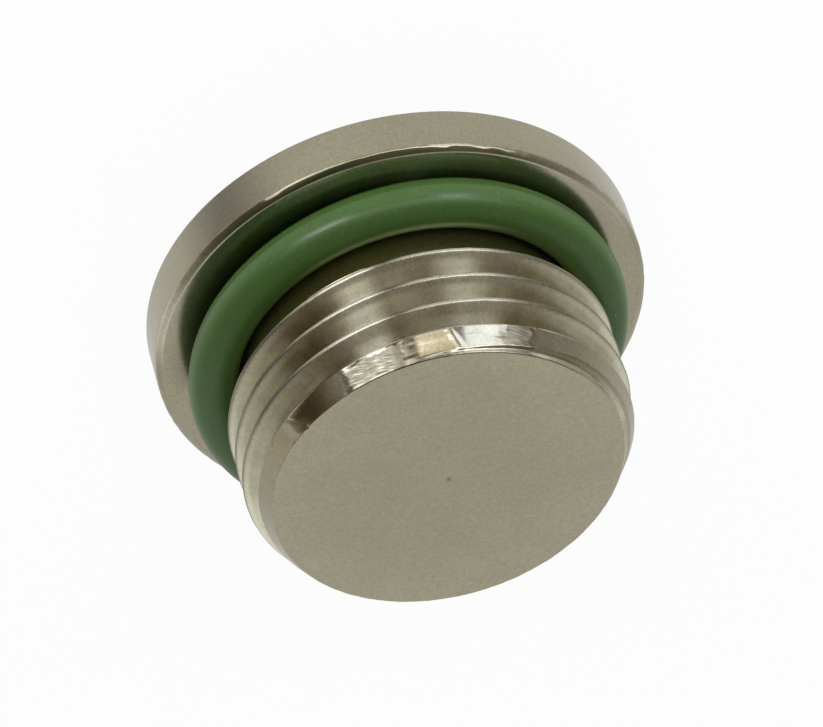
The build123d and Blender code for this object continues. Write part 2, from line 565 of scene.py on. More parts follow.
def chamfer_marks(settings, angles, heights, radius):
    """Depth of the marks on the lead chamfer, added up.

    Fine turning lines fade to both sides. Chatter, a rolled edge and burrs lie within one span, waves and
    nibbles within another. Slanted lines across the chamfer and single dents come on top.
    """
    a = side(angles)
    along = radius * np.radians(a)
    below = settings.height - heights
    lines = lattice_noise(along / TURNING_CELL[0], heights / TURNING_CELL[1], FINE_CELLS, seed=11)
    marks = TURNING_DEPTH * lines * (1 - ramp(np.abs(a), *TURNING_FADE))
    inside = within(a, CHATTER_SPAN, CHATTER_SOFT)
    across = heights / CHATTER_CELL[1] + CHATTER_SLANT * along / CHATTER_CELL[1]
    streaks = lattice_noise(along / CHATTER_CELL[0], across, MARK_CELLS, seed=3)
    share, along_closer, across_closer = CHATTER_QUICK
    quick = lattice_noise(along_closer * along / CHATTER_CELL[0], across_closer * across, MARK_CELLS, seed=5)
    streaks = streaks + share * quick
    marks = marks + CHATTER_DEPTH * inside * streaks
    marks = marks + ROLL_SLOPE * inside * np.maximum(below - roll_start(along), 0)
    burr = np.maximum(lattice_noise(along / BURR_CELL, 0 * along, MARK_CELLS, seed=29), 0)
    marks = marks + BURR_DEPTH * inside * burr * ramp(below, *BURR_RANGE)
    inside = within(a, NIBBLE_SPAN, NIBBLE_SOFT)
    waves = lattice_noise(along / WAVE_CELL[0], heights / WAVE_CELL[1], MARK_CELLS, seed=31)
    marks = marks + WAVE_DEPTH * inside * waves
    upper = ramp(below, *NIBBLE_RANGE)
    nibbles = lattice_noise(along / NIBBLE_CELL[0], heights / NIBBLE_CELL[1], MARK_CELLS, seed=7)
    nibbles = np.maximum(nibbles, 0)
    marks = marks + NIBBLE_DEPTH * inside * upper * nibbles
    for line_side, slant, half_width, depth in LINES:
        marks = marks + depth * MM * bump_at(a, line_side + slant * below / MM, half_width)
    for dent_side, dent_below, half_width, half_height, depth in DENTS:
        far_along = radius * np.radians(a - dent_side) / (half_width * MM)
        far_up = (below - dent_below * MM) / (half_height * MM)
        marks = marks + depth * MM * (1 - ramp(np.hypot(far_along, far_up), 0, 1))
    return marks


def threaded_radius(settings, angles, heights):
    """Radius of the finished shank at an angle and a height: the lesser of the blank and the thread."""
    depth = thread_depth_at(settings, angles, heights)
    blank = envelope_radius(settings, heights)
    turn = angles / FULL_TURN
    wave = lattice_noise(CREST_WAVE_CELLS * turn, heights / CREST_WAVE_HEIGHT, CREST_WAVE_CELLS, seed=1)
    crest = 1 - ramp(depth, 0, CREST_SHARE * settings.thread_depth)
    thread = THREAD_RADIUS - depth - CREST_WAVE * crest * (1 + wave)
    nick = lattice_noise(NICK_CELLS * turn, heights / NICK_HEIGHT, NICK_CELLS, seed=17)
    nick = ramp(nick, *NICK_RANGE) * (1 - within(np.abs(side(angles)), NICK_FREE, NICK_SOFT))
    thread = thread - NICK_DEPTH * (1 - ramp(depth, 0, NICK_REACH)) * nick
    thread = thread + TAIL_FILL * ramp(settings.height - heights, *TAIL_RANGE)
    on_lead = ramp(heights, lead_start(settings) - ENVELOPE_ROUND, lead_start(settings) + ENVELOPE_ROUND)
    on_lead = on_lead * (1 - ramp(blank - thread, -MEETING_HALF, MEETING_HALF))
    marks = on_lead * chamfer_marks(settings, angles, heights, blank)
    near_end = ramp(settings.height - heights, *EDGE_WAVE_RANGE)
    ragged = lattice_noise(EDGE_WAVE_CELLS * turn, 0 * heights, EDGE_WAVE_CELLS, seed=9)
    softer = ramp(np.abs(side(angles)), *SIDE_ROUND_SIDES)
    softer = softer * ramp(settings.height - heights, *SIDE_ROUND_RANGE)
    radius = ease_min(blank, thread, ENVELOPE_ROUND + SIDE_ROUND * softer)
    return radius - marks - EDGE_WAVE * near_end * ragged


def helix_band(settings, angles, low, high, stations):
    """The threaded shank between two heights, on rows that climb with the thread.

    stations are fractions of a pitch, counted from a crest; rows past the two heights are held at them,
    and what falls together there is merged afterwards.
    """
    pitch = settings.thread_pitch
    first = SEALING_FACE + settings.first_crest
    lowest = math.floor((low - first) / pitch) - 1
    highest = math.ceil((np.max(high) - first) / pitch) + 1
    turns = np.arange(lowest, highest + 1)
    rows = first + pitch * (turns[:, None] + stations).ravel()
    heights = np.clip(rows[::-1, None] + climb_at(settings, angles), low, high)
    return band(threaded_radius(settings, angles + 0 * heights, heights), heights, angles)


def end_face_bands(settings, angles):
    """The end face, from its centre mark out, and the rounded edge that leads over to the chamfer."""
    top = settings.height
    normals = np.linspace(math.pi / 2, settings.lead_angle, FACE_EDGE_ROWS)[:, None]
    front = within(side(angles), FACE_EDGE_SPAN, FACE_EDGE_SOFT)
    rounding = FACE_EDGE_SIDE + (FACE_EDGE_FRONT - FACE_EDGE_SIDE) * front
    edge_low = top - rounding * (1 - math.sin(settings.lead_angle))
    edge_radius = threaded_radius(settings, angles, edge_low)
    edge = band(
        edge_radius + rounding * (np.cos(normals) - math.cos(settings.lead_angle)),
        top - rounding * (1 - np.sin(normals)),
        angles,
    )
    mark = [
        (0, top - CENTRE_MARK_DEPTH, 0),
        (CENTRE_MARK_RADIUS, top, CENTRE_MARK_RADIUS / 2),
        (settings.end_diameter / 4, top, 0),
    ]
    middle = turned_band(mark, angles)
    return [middle, np.stack([middle[-1], edge[0]]), edge], edge_low


def collar_band(settings, angles):
    """Neck, sealing face, collar with two chamfered edges, and the head face up to the socket's mouth."""
    neck = settings.neck_diameter / 2
    collar = settings.collar_diameter / 2
    chamfer = settings.collar_chamfer
    neck_end = SEALING_FACE + settings.neck_length
    corners = [
        (neck, neck_end, 0),
        (neck, SEALING_FACE, 2 * EDGE_ROUND),
        (collar - chamfer, SEALING_FACE, COLLAR_EDGE_ROUND),
        (collar, SEALING_FACE - chamfer, COLLAR_EDGE_ROUND),
        (collar, SEALING_FACE - 2 * chamfer, 0),
        (collar, chamfer, EDGE_ROUND),
        (collar - chamfer, 0, EDGE_ROUND),
        (settings.socket_mouth / 2, 0, 0),
    ]
    rows = turned_band(corners, angles)
    out = np.hypot(rows[..., 0], rows[..., 1])
    near = bump_at(out - rows[..., 2], collar - SEALING_FACE + chamfer, chamfer)
    turn = angles / FULL_TURN
    nicks = lattice_noise(COLLAR_NICK_CELLS * turn, 0 * angles, COLLAR_NICK_CELLS, seed=19)
    upper = ramp(rows[..., 2], chamfer, 2 * chamfer)
    inward = 1 - COLLAR_NICK_DEPTH * near * np.maximum(nicks, 0) * upper / collar
    rows[..., :2] = rows[..., :2] * inward[..., None]
    return rows


def socket_bands(settings, angles):
    """The hexagon socket: countersunk mouth, six flats and a drilled point.

    The hexagon's radius is half its flats over the cosine of the angle from the middle of the nearest flat.
    """
    flats = settings.socket_flats / 2
    mouth = settings.socket_mouth / 2
    sixth = math.pi / 3
    hexagon = flats / np.cos(angles % sixth - sixth / 2)
    part = np.linspace(0, 1, SOCKET_ROWS)[:, None]
    cone_radius = mouth + part * (hexagon - mouth)
    cone = band(cone_radius, (mouth - cone_radius) / math.tan(SOCKET_MOUTH_ANGLE / 2), angles)
    shaft_heights = cone[-1, :, 2] + part * (settings.socket_depth - cone[-1, :, 2])
    shaft = band(hexagon + 0 * part, shaft_heights, angles)
    ledge = band(hexagon + part * (flats - hexagon), settings.socket_depth, angles)
    point_radius = flats * np.linspace(1, 0, POINT_ROWS)[:, None]
    point_height = settings.socket_depth + (flats - point_radius) / math.tan(SOCKET_POINT_ANGLE / 2)
    return [cone, shaft, ledge, band(point_radius, point_height, angles)]


# fractions of a pitch at which the rows of the thread lie: close together where it is rounded
THREAD_STATIONS = np.array([
    0, 0.016, 0.032, 0.048, 0.065, 0.09, 0.13, 0.20, 0.30, 0.37, 0.405, 0.44, 0.5,
    0.56, 0.595, 0.63, 0.80, 0.91, 0.95, 0.98,
])
CHAMFER_ROWS = 50
CHAMFER_STATIONS = np.arange(CHAMFER_ROWS) / CHAMFER_ROWS


def plug_body_mesh(settings):
    """The whole body as one closed surface, from the middle of the end face to the point of the socket."""
    angles = column_angles(BODY_COLUMNS)
    top_bands, edge_low = end_face_bands(settings, angles)
    neck_end = SEALING_FACE + settings.neck_length
    shoulder_top = neck_end + settings.neck_shoulder + SHOULDER_STEP
    lead_low = lead_start(settings) - 2 * ENVELOPE_ROUND
    shoulder_heights = np.linspace(shoulder_top, neck_end, SHOULDER_ROWS)[:, None] + 0 * angles
    shoulder_radius = threaded_radius(settings, angles + 0 * shoulder_heights, shoulder_heights)
    bands = [
        *top_bands,
        helix_band(settings, angles, lead_low, edge_low, CHAMFER_STATIONS),
        helix_band(settings, angles, shoulder_top, lead_low, THREAD_STATIONS),
        band(shoulder_radius, shoulder_heights, angles),
        collar_band(settings, angles),
        *socket_bands(settings, angles),
    ]
    mesh = grid_mesh("plug_body_plated", bands)
    store_finish(mesh, settings)
    return mesh


def streaked(a, level, streaks):
    """A level that streaks raise or lower round the axis, each with long soft sides."""
    total = level
    for middle, half_width, change in streaks:
        away = np.abs((a - middle + DEGREES / 2) % DEGREES - DEGREES / 2)
        total = total + change * (1 - ramp(away / half_width, *STREAK_SIDES))
    return np.clip(total, 0, 1)


def spot(a, middle, half_width, change):
    """A change round one side that fades out over half_width."""
    return change * bump_at(a, middle, half_width)


def mixed(first, second, share):
    """Colours that go from the first, where share is 0, to the second, where it is 1."""
    return np.array(first) * (1 - share[:, None]) + np.array(second) * share[:, None]


def lead_plating_and_painted_light(settings, a, height, radius):
    """Colour of the lead chamfer: bright on the front and satin on both sides.

    On the front it has painted shade: a dark smudged patch that stands for a dark reflection, a dull warm one
    and a shaded edge. Its streaks from tarnished to bright are painted reflections.
    """
    along = radius * np.radians(a)
    smudge = lattice_noise(along / LEAD_SMUDGE_CELL[0], height / LEAD_SMUDGE_CELL[1], FINE_CELLS, seed=27)
    shifted = a + LEAD_SMUDGE_SHIFT * smudge
    # painted reflections: streaks between the tarnish colour and bright nickel
    share = streaked(shifted, LEAD_LEVEL + SMUDGE * smudge, LEAD_STREAKS)
    colours = mixed(settings.tarnish, settings.bright, share)
    # painted dark reflection in a dark smudged patch
    painted_dark = spot(shifted, *LEAD_PAINTED_DARK)
    wandering = a + LEAD_PAINTED_SHADE_SHIFT * smudge
    # painted shade over the lamp's reflection, in two dull spans
    dull = np.maximum(*[shade * within(wandering, span, LEAD_PAINTED_SHADE_SOFT) for span, shade in LEAD_PAINTED_SHADE])
    # painted shade along the edge beside the end face
    edge = LEAD_EDGE_SHADE * within(a, LEAD_EDGE, LEAD_EDGE_SOFT)
    edge = edge * (1 - ramp(settings.height - height, *LEAD_EDGE_RANGE))
    colours = colours * ((1 - painted_dark) * (1 - np.maximum(dull, edge)))[:, None]
    colours = colours * (1 - np.array(LEAD_PAINTED_SHADE_TINT) * dull[:, None])
    beside = ramp(np.abs(a), *LEAD_SATIN_SIDES)
    return mixed(colours, LEAD_SATIN_SHADE * np.array(settings.nickel), beside)


def lead_film(settings, a, height, radius):
    """How thick the dull film is on the lead chamfer, where 1 hides the plating.

    It covers two spans: on the first it is rubbed off along both edges, and along the second it grows.
    """
    along = radius * np.radians(a)
    below = settings.height - height
    edge_wave = lattice_noise(along / ROLL_CELL, 0 * along, MARK_CELLS, seed=25)
    worn_edge = WORN_EDGE_SHARE * (1 - ramp(below / MM - WORN_EDGE_WAVE * edge_wave, *WORN_EDGE))
    rolled = ramp(below - roll_start(along), -ROLLED_HALF, ROLLED_HALF)
    first = within(a, FILM_FIRST, FILM_FIRST_SOFT) * (1 - np.maximum(worn_edge, rolled))
    growing = FILM_THIN + (1 - FILM_THIN) * ramp(-a, *FILM_GROWS)
    return first + growing * within(a, FILM_SECOND, FILM_SECOND_SOFT)


def mesh_points(mesh):
    """The points of a mesh as an array."""
    points = np.empty(len(mesh.vertices) * 3)
    mesh.vertices.foreach_get("co", points)
    return points.reshape(-1, 3)


def store_values(mesh, name, values):
    """Stores one value a point under a name that a material can read."""
    mesh.attributes.new(name, "FLOAT", "POINT").data.foreach_set("value", values)


def thread_plating_and_painted_light(settings, a, height, depth):
    """Colour of the thread's flanks: streaks from tarnished to bright that are painted reflections, with
    darker roots.

    The tops are bright at the sides, and the last turn is a little darker and has painted light and shade in
    streaks of its own. On the front the level is lower, as painted shade.
    """
    level = PLATING_ELSEWHERE + (PLATING_FRONT - PLATING_ELSEWHERE) * bump_at(a, 0, PLATING_FRONT_SPAN)
    cells = SMUDGE_CELLS * a / DEGREES
    rows = height / SMUDGE_HEIGHT
    level = level + SMUDGE * lattice_noise(cells, rows, SMUDGE_CELLS, seed=21)
    share, closer, closer_up = SMUDGE_QUICK
    quick = lattice_noise(closer * cells, closer_up * rows, closer * SMUDGE_CELLS, seed=22)
    level = level + SMUDGE * share * quick
    # painted light and shade on the last turn
    last_turn = ramp(settings.height - height, *LAST_TURN_RANGE)
    level = level - LAST_TURN * last_turn
    level = level + last_turn * sum(spot(a, *streak) for streak in LAST_TURN_PAINTED_STREAKS)
    # painted reflections: streaks between the tarnish colour and bright nickel
    cut = mixed(settings.tarnish, settings.bright, streaked(a, level, PAINTED_REFLECTION_STREAKS))
    at_side = np.where(a > 0, *FLANK_TOP) * ramp(np.abs(a), *FLANK_TOP_SIDES)
    cut = mixed(cut, settings.bright, at_side * (1 - ramp(depth, *FLANK_TOP_RANGE)))
    tinted = within(np.abs(a), SIDE_TINT_SPAN, SIDE_TINT_SOFT)[:, None]
    cut = cut * (1 + (np.array(SIDE_TINT) - 1) * tinted)
    # darker towards the roots of the thread
    at_root = ROOT_DARKENING * ramp(depth / settings.thread_depth, *ROOT_RANGE)
    return cut * (1 - at_root[:, None])


def store_finish(mesh, settings):
    """Stores on each point how satin it is, its plating's colour, the film on it and the grime.

    Satin is 1 on the end face, the rim and the head face, 0 on cut, bright faces, and up to 2 on edges that
    are duller still. The plating is satin nickel everywhere but in the thread and on its chamfer, where it
    goes from tarnished to bright in streaks that are painted reflections; painted light and shade are also
    put into it on the crests, the rim, the collar's upper edge and the sealing face beside the ring. Grime is
    how much of the metal is hidden beside the ring.
    """
    points = mesh_points(mesh)
    radius = np.hypot(points[:, 0], points[:, 1])
    height = points[:, 2]
    a = side(np.arctan2(points[:, 1], points[:, 0]))
    depth = THREAD_RADIUS - radius
    collar = settings.collar_diameter / 2
    neck_end = SEALING_FACE + settings.neck_length
    lead = lead_start(settings)
    lead_radius = settings.end_diameter / 2 + (settings.height - height) * math.tan(settings.lead_angle)

    # where each surface is
    on_end = ramp(height, settings.height - FACE_EDGE_SIDE, settings.height)
    on_rim = ramp(radius, collar - EDGE_ROUND, collar)
    on_head = 1 - ramp(height, 0, EDGE_ROUND)
    on_head = on_head * ramp(radius, settings.socket_mouth / 2, settings.neck_diameter / 2)
    on_neck = ramp(height - SEALING_FACE, *NECK_RANGE) * (1 - on_end)
    on_shank = ramp(height, neck_end, neck_end + settings.neck_shoulder) * (1 - on_end)
    on_lead = ramp(height, lead, lead + LEAD_START_SOFT) * (1 - on_end)
    on_lead = on_lead * (1 - ramp(lead_radius - radius, *LEAD_GAP_RANGE))
    on_flank = on_shank * ramp(depth, *FLANK_RANGE) * (1 - on_lead)
    on_edge = ramp(radius, collar - settings.collar_chamfer - EDGE_ROUND, collar - settings.collar_chamfer)
    on_edge = on_edge * (1 - on_rim) * ramp(height, SEALING_FACE / 2, SEALING_FACE / 2 + COLLAR_MIDDLE_SOFT)
    on_seal = bump_at(height, SEALING_FACE, SEAL_HALF) * (1 - on_edge) * (1 - on_rim)

    neck = on_neck - on_shank
    crest = on_shank - on_flank
    away = np.abs(a)

    # how satin it is
    satin = np.maximum.reduce([
        on_end,
        on_rim,
        on_head,
        FLANK_SATIN * np.maximum(NECK_SATIN * neck, on_shank * (1 - on_lead)),
        on_lead * ramp(away, *LEAD_SATIN_SIDES),
        CREST_SATIN * ramp(away, *CREST_SATIN_SIDES) * crest * (1 - on_lead),
        EDGE_SATIN * on_edge * ramp(away, *EDGE_SATIN_SIDES),
        SEAL_SATIN * on_seal * ramp(away, *SEAL_SATIN_SIDES),
    ])
    store_values(mesh, "satin", satin)
    store_values(mesh, "grime", NECK_GRIME * neck + on_seal * spot(a, *SEAL_GRIME))

    # the plain plating: stained, with a painted dark reflection on the rim and painted shade on the crests;
    # rubbed bright, with a painted highlight on the crests and painted light on the collar's edge; painted
    # shade beside the ring; and a painted dark reflection on the collar's edge
    worn = on_end * (1 - ramp(radius, settings.end_diameter / 4, settings.end_diameter / 2))
    # painted shade on the crests beside the front, fading on the far sides, and at the very front
    beside = np.where(a > 0, *[ramp(away, *sides) for sides in CREST_PAINTED_SHADE_SIDES])
    beside = beside * (1 - np.where(a > 0, *CREST_SHADE_FADE) * ramp(away, *CREST_SHADE_FADE_SIDES))
    in_front = bump_at(a, *CREST_PAINTED_SHADE_FRONT[:2])
    plating = np.array(settings.nickel)
    for stain in (
        on_rim * spot(a, *RIM_PAINTED_DARK),
        END_WEAR * worn,
        on_shank * np.where(a > 0, *CREST_PAINTED_SHADE) * beside,
        on_shank * CREST_PAINTED_SHADE_FRONT[2] * in_front,
        on_seal * SEAL_STAIN * (1 - bump_at(a, *SEAL_RUBBED[:2])),
    ):
        plating = plating * (1 - stain[:, None])
    # rubbed bright: a painted highlight on the crests and painted light on the collar's upper edge, with the
    # sealing face and the neck rubbed bright
    rubbed = on_shank * streaked(a, CREST_LEVEL * bump_at(a, 0, CREST_FRONT_SPAN), CREST_PAINTED_HIGHLIGHT)
    rubbed = rubbed * (1 - in_front) + on_seal * spot(a, *SEAL_RUBBED)
    rubbed = rubbed + on_edge * streaked(a, 0, EDGE_PAINTED_LIGHT) + NECK_RUBBED * neck
    plating = mixed(plating, settings.bright, rubbed)
    # painted shade on the sealing face beside the ring: a soft band, darker spots and a dark wedge
    for shade, reach, share in (
        (SEAL_SHADE, SEAL_SHADE_RANGE, bump_at(a, 0, SEAL_SHADE_SPAN)),
        (SEAL_DARK_SHADE, SEAL_DARK_RANGE, streaked(a, 0, SEAL_DARK)),
        (1.0, SEAL_WEDGE_RANGE, spot(a, *SEAL_WEDGE)),
    ):
        shaded = on_seal * (1 - ramp(radius, *reach)) * share
        plating = plating * (1 - np.array(shade) * shaded[:, None])
    plating = plating * (1 + (np.array(NECK_TINT) - 1) * neck[:, None])
    # a painted dark reflection on the collar's upper edge, left clear along a line and in streaks of painted
    # light
    line = ramp(collar - radius, *EDGE_CLEAR) * streaked(a, EDGE_LINE, EDGE_LINE_STREAKS)
    plating = mixed(plating, settings.painted_dark_edge, on_edge * (1 - line) * streaked(a, 0, EDGE_PAINTED_DARK))

    # the thread and its chamfer
    plating = mixed(plating, thread_plating_and_painted_light(settings, a, height, depth), on_flank)
    plating = mixed(plating, lead_plating_and_painted_light(settings, a, height, radius), on_lead)
    colours = np.concatenate([plating, np.ones((len(plating), 1))], axis=1)
    mesh.attributes.new("plating", "FLOAT_COLOR", "POINT").data.foreach_set("color", colours.ravel())
    store_values(mesh, "film", on_lead * lead_film(settings, a, height, radius))


# the ring's surface: turns round its section are in degrees up from outwards; the painted light fades out
# over the first range of turns; roughness and gloss are given outside, on top and where it is polished; a
# polished spot, or a pale spot (the first painted light along the inner side, the second dust), is (side,
# half width, turn, half turn, share)
PAINTED_LIGHT_FADE = (5.0, 45.0)
RING_ROUGHNESS = (0.22, 0.45, 0.15)
RING_GLOSS = (0.45, 0.30, 0.80)
RING_POLISHED = ((11.5, 11.0, 21.5, 9.0, 1.0), (-22.5, 9.0, 17.0, 9.0, 1.0))
RING_PALE_LIGHT_AND_DUST = ((-17.0, 34.0, 112.0, 18.0, 0.85), (80.0, 45.0, 40.0, 130.0, 0.10))
RING_DULL_SIDES = (40.0, 65.0)


def o_ring_mesh(settings):
    """A torus round the axis, tilted up towards its high side, with its low side on the sealing face."""
    section = settings.section / 2
    middle = settings.inner_diameter / 2 + section
    angles = column_angles(RING_COLUMNS)
    round_section = np.linspace(math.pi, -math.pi, RING_ROWS + 1)[:, None]
    points = band(middle + section * np.cos(round_section), section * np.sin(round_section), angles)
    toward = np.array([math.cos(settings.high_side), math.sin(settings.high_side), 0])
    across = np.array([-toward[1], toward[0], 0])
    upward = np.array([0, 0, 1])
    out = points @ toward
    up = points[..., 2]
    tilt = settings.tilt
    new_out = out * math.cos(tilt) - up * math.sin(tilt)
    new_up = out * math.sin(tilt) + up * math.cos(tilt)
    lift = SEALING_FACE + section + middle * math.sin(tilt) + settings.clearance
    sideways = points @ across
    tilted = new_out[..., None] * toward + sideways[..., None] * across
    tilted = tilted + (new_up + lift)[..., None] * upward
    mesh = grid_mesh("o_ring_rubber", [tilted])
    store_painted_light(mesh, middle, lift)
    return mesh


def ring_spot(a, turned, middle, half_width, turn, half_turn, share):
    """A soft spot on the ring, round a side of it and a turn round its section."""
    return share * bump_at(a, middle, half_width) * bump_at(turned, turn, half_turn)


def store_painted_light(mesh, middle, lift):
    """Stores on each point of the ring how much painted light it has, how pale it is from painted light and
    dust, and how rough and glossy it is.

    The painted light is full outside and gone on top. Roughness and gloss go with it on the front.
    """
    points = mesh_points(mesh)
    outward = np.hypot(points[:, 0], points[:, 1]) - middle
    turned = np.degrees(np.arctan2(points[:, 2] - lift, outward))
    bloom = 1 - ramp(turned, *PAINTED_LIGHT_FADE)
    a = side(np.arctan2(points[:, 1], points[:, 0]))
    polished = sum(ring_spot(a, turned, *spot) for spot in RING_POLISHED)
    store_values(mesh, "bloom", bloom)
    store_values(mesh, "pale", sum(ring_spot(a, turned, *spot) for spot in RING_PALE_LIGHT_AND_DUST))
    shiny = bloom * (1 - ramp(np.abs(a), *RING_DULL_SIDES))
    for name, (outside, top, smooth) in (("roughness", RING_ROUGHNESS), ("gloss", RING_GLOSS)):
        plain = top + (outside - top) * shiny
        store_values(mesh, name, plain + (smooth - plain) * polished)


# sockets of a Mix node that mixes colours and its two settings, and the sockets of a Map Range node
MIX_FACTOR, MIX_A, MIX_B, MIX_RESULT = 0, 6, 7, 2
COLOURS = {"data_type": "RGBA"}
TIMES = {"data_type": "RGBA", "blend_type": "MULTIPLY"}
RANGE = ("From Min", "From Max", "To Min", "To Max")


def add(tree, kind, inputs=None, **settings):
    """Adds a node with its settings; an input gets a value, or a link from a socket or a node's first one."""
    node = tree.nodes.new("ShaderNode" + kind)
    for name, value in settings.items():
        setattr(node, name, value)
    for socket, value in (inputs or {}).items():
        if isinstance(value, bpy.types.Node):
            value = value.outputs[0]
        if isinstance(value, bpy.types.NodeSocket):
            tree.links.new(value, node.inputs[socket])
        else:
            node.inputs[socket].default_value = value
    return node


def new_material(name):
    """An empty node material and its tree."""
    material = bpy.data.materials.new(name)
    material.use_nodes = True
    material.node_tree.nodes.clear()
    return material, material.node_tree


def per_size(millimetres):
    """Scale of a texture whose features have that size."""
    return 1 / (millimetres * MM)


# scratches in the film: length, width and slant, and how their noise wears the film through and shades it
# with painted light and dark streaks of reflection
SCRATCH_LENGTH = 0.7
SCRATCH_WIDTH = 0.055
SCRATCH_SLANT = math.radians(9)
SCRATCH_DETAIL = 3.0
SCRATCH_WORN = (0.56, 0.74, 0.0, 0.8)
SCRATCH_SHADE = (0.3, 0.6, 0.55, 1.2)


def scratched_film(tree, settings, place, plating):
    """A dull film over the plating, worn through in fine scratches that run round the axis on a slant, and
    painted lighter and darker along them as streaks of reflection.

    The scratches lie on a sheet rolled round the axis: the turn from the front times the thread's radius,
    and the height.
    """
    film = add(tree, "Attribute", attribute_name="film").outputs["Fac"]
    axes = add(tree, "SeparateXYZ", {0: place}).outputs
    front = add(tree, "Math", {0: axes["Y"], 1: -1.0}, operation="MULTIPLY")
    turn = add(tree, "Math", {0: axes["X"], 1: front}, operation="ARCTAN2")
    along = add(tree, "Math", {0: turn, 1: THREAD_RADIUS}, operation="MULTIPLY")
    sheet = add(tree, "CombineXYZ", {"X": along, "Y": axes["Z"]})
    slanted = add(tree, "Mapping", {"Vector": sheet, "Rotation": (0, 0, SCRATCH_SLANT)})
    closeness = (per_size(SCRATCH_LENGTH), per_size(SCRATCH_WIDTH), 1)
    stretched = add(tree, "Mapping", {"Vector": slanted, "Scale": closeness})
    lines = add(tree, "TexNoise", {"Vector": stretched, "Scale": 1.0, "Detail": SCRATCH_DETAIL})
    worn, shade = [
        add(tree, "MapRange", {"Value": lines, **dict(zip(RANGE, spread))})
        for spread in (SCRATCH_WORN, SCRATCH_SHADE)
    ]
    left = add(tree, "Math", {0: film, 1: worn}, operation="SUBTRACT", use_clamp=True)
    # the dull film, shaded in painted streaks of reflection
    dull = add(tree, "Mix", {MIX_FACTOR: 1.0, MIX_A: (*settings.film, 1), MIX_B: shade}, **TIMES)
    filmed = add(tree, "Mix", {MIX_FACTOR: left, MIX_A: plating, MIX_B: dull.outputs[MIX_RESULT]}, **COLOURS)
    return filmed.outputs[MIX_RESULT]


# nickel: size in millimetres and detail of its mottle and its grain, what they do to the colour,
# roughness from bright to twice satin, and the relief of the grain
NICKEL_NOISES = ((4, 4.0), (0.16, 2.0))
NICKEL_MOTTLE = (0.3, 0.7, 0.96, 1.04)
NICKEL_SPECKLE = (0.3, 0.7, 0.90, 1.10)
NICKEL_ROUGHNESS = (0.0, 2.0, 0.11, 0.53)
NICKEL_RELIEF = 0.25
GRAIN_DEPTH = 0.01 * MM


def nickel_plated_brass(settings):
    """Brass, turned and then plated with nickel: a warm grey mirror on the cut faces, satin on the flat ones.

    The eye gets a slow warm mottle of light tarnish, a fine grain that dulls the end face and the rim, a
    scratched film on the lead chamfer and a little grime beside the ring. The plating colour that it reads
    holds painted reflections, highlights and shade.
    """
    material, tree = new_material("Nickel-plated brass, turned")
    place = add(tree, "TexCoord").outputs["Object"]
    satin, grime = [add(tree, "Attribute", attribute_name=name).outputs["Fac"] for name in ("satin", "grime")]
    plating = add(tree, "Attribute", attribute_name="plating").outputs["Color"]
    mottle, grain = [
        add(tree, "TexNoise", {"Vector": place, "Scale": per_size(size), "Detail": detail})
        for size, detail in NICKEL_NOISES
    ]
    patches, speckle, smooth = [
        add(tree, "MapRange", {"Value": value, **dict(zip(RANGE, spread))})
        for value, spread in ((mottle, NICKEL_MOTTLE), (grain, NICKEL_SPECKLE), (satin, NICKEL_ROUGHNESS))
    ]
    plate = scratched_film(tree, settings, place, plating)
    for shade in (patches, speckle):
        plate = add(tree, "Mix", {MIX_FACTOR: 1.0, MIX_A: plate, MIX_B: shade}, **TIMES).outputs[MIX_RESULT]
    rough = add(tree, "Math", {0: smooth, 1: speckle}, operation="MULTIPLY")
    relief = add(tree, "Math", {0: satin, 1: NICKEL_RELIEF}, operation="MULTIPLY")
    bump = add(tree, "Bump", {"Height": grain, "Strength": relief, "Distance": GRAIN_DEPTH})
    bare = add(tree, "Math", {0: 1.0, 1: grime}, operation="SUBTRACT")
    look = {"Base Color": plate, "Metallic": bare, "Roughness": rough, "Normal": bump}
    add(tree, "OutputMaterial", {"Surface": add(tree, "BsdfPrincipled", look)})
    return material


# rubber: size in millimetres and detail of its clouds, its tooth and its dust, what they do to the colour,
# and the relief of the tooth
RUBBER_NOISES = ((2.5, 3.0), (0.14, 2.0), (0.3, 1.0))
RUBBER_CLOUDS = (0.35, 0.65, 0.75, 1.0)
RUBBER_SPECKLE = (0.3, 0.7, 0.88, 1.12)
RUBBER_SPECKS = (0.72, 0.82, 0.0, 0.22)
RUBBER_RELIEF = 0.3


